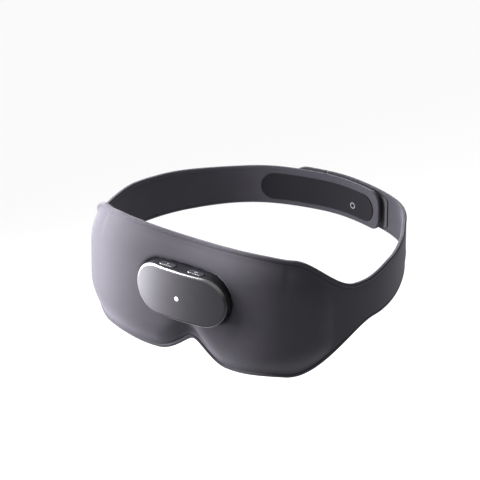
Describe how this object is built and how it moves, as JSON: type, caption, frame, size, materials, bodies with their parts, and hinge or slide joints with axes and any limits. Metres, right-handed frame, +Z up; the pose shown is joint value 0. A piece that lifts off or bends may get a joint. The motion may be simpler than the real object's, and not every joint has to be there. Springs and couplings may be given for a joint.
{
  "type": "eye massager mask",
  "caption": "Wrap-round soft fabric eye mask with a pill-shaped front control module, top push buttons and a rear hook-and-loop strap.",
  "frame": {"origin": "centre of the head loop, on the strap's mid-height", "axes": "+Z up along the head, -Y out of the mask's front, +X towards the wearer's left"},
  "size_m": [0.2046, 0.186, 0.0858],
  "materials": {
    "cover_fabric": "matte",
    "liner_fabric": "matte",
    "frame_plastic": "satin",
    "foam": "matte",
    "face_metal": "satin",
    "black_plastic": "gloss",
    "grey_plastic": "matte",
    "clamp_plastic": "matte",
    "light_guide": "gloss",
    "board": "satin",
    "steel": "brushed",
    "cell_wrap": "satin",
    "tape": "matte",
    "brass": "satin",
    "white_plastic": "satin",
    "hose": "satin",
    "lead_cover": "satin",
    "airbag_film": "satin",
    "pad_rubber": "matte",
    "heater_film": "satin",
    "sensor_bead": "gloss",
    "hook_tape": "matte",
    "loop_tape": "matte",
    "label_film": "satin"
  },
  "bodies": {
    "mask": {"outer_cover": "cover_fabric", "inner_liner": "liner_fabric", "support_frame": "frame_plastic", "left_foam": "foam", "right_foam": "foam", "front_cover": "face_metal", "mid_housing": "black_plastic", "rear_housing": "grey_plastic", "clamp_ring": "clamp_plastic", "status_light": "light_guide", "main_board": "board", "power_switch": "steel", "mode_switch": "steel", "usb_port": "steel", "battery": "cell_wrap", "battery_tape": "tape", "pump_motor": "steel", "pump_head": "black_plastic", "tee_fitting": "white_plastic", "valve_body": "steel", "module_screws": "steel", "left_air_tube": "hose", "right_air_tube": "hose", "left_wire": "lead_cover", "right_wire": "lead_cover", "left_airbag": "airbag_film", "right_airbag": "airbag_film"},
    "power_button": {"power_button": "black_plastic"},
    "mode_button": {"mode_button": "black_plastic"},
    "left_pad": {"left_massage_pad": "pad_rubber", "left_heater": "heater_film", "left_heat_sensor": "sensor_bead", "left_eye_liner": "liner_fabric"},
    "right_pad": {"right_massage_pad": "pad_rubber", "right_heater": "heater_film", "right_heat_sensor": "sensor_bead", "right_eye_liner": "liner_fabric"},
    "pump_rotor": {"pump_shaft": "brass"},
    "valve_plunger": {"valve_plunger": "steel", "valve_spring": "steel"},
    "left_strap": {"left_strap": "cover_fabric", "hook_patch": "hook_tape"},
    "peel_tab": {"peel_tab": "cover_fabric"},
    "right_strap": {"right_strap": "cover_fabric", "loop_patch": "loop_tape", "label_pad": "label_film"}
  },
  "joints": [
    {"name": "power_press", "type": "slide", "parent": "mask", "child": "power_button", "axis": [0, 0, -1], "range_m": [0, 0.0005], "stiffness_N_per_m": 1500, "springref_m": -0.0004},
    {"name": "mode_press", "type": "slide", "parent": "mask", "child": "mode_button", "axis": [0, 0, -1], "range_m": [0, 0.0005], "stiffness_N_per_m": 1500, "springref_m": -0.0004},
    {"name": "left_pad_inflate", "type": "slide", "parent": "mask", "child": "left_pad", "axis": [0.0268, 0.9996, 0], "range_m": [0, 0.004], "stiffness_N_per_m": 300, "springref_m": -0.002, "deforming": ["left_airbag"]},
    {"name": "right_pad_inflate", "type": "slide", "parent": "mask", "child": "right_pad", "axis": [-0.0268, 0.9996, 0], "range_m": [0, 0.004], "stiffness_N_per_m": 300, "springref_m": -0.002, "deforming": ["right_airbag"]},
    {"name": "pump_turn", "type": "hinge", "parent": "mask", "child": "pump_rotor", "pos_m": [0.0136, -0.0892, -0.0035], "axis": [0, 0, 1], "continuous": true},
    {"name": "valve_pull", "type": "slide", "parent": "mask", "child": "valve_plunger", "axis": [0, 0, -1], "range_m": [0, 0.0006], "stiffness_N_per_m": 200, "springref_m": -0.0005, "deforming": ["valve_spring"]},
    {"name": "left_strap_open", "type": "hinge", "parent": "mask", "child": "left_strap", "pos_m": [0.098, -0.0478, 0], "axis": [0, 0, -1], "range_deg": [0, 60]},
    {"name": "peel_tab_lift", "type": "hinge", "parent": "left_strap", "child": "peel_tab", "pos_m": [-0.01967, 0.0852, 0], "axis": [0, 0, -1], "range_deg": [0, 45]},
    {"name": "right_strap_fold", "type": "hinge", "parent": "mask", "child": "right_strap", "pos_m": [-0.09558, -0.04684, 0], "axis": [0, 0, -1], "range_deg": [0, 35]}
  ],
  "couplings": [
    {"joint": "right_pad_inflate", "follows": "left_pad_inflate", "ratio": 1}
  ]
}
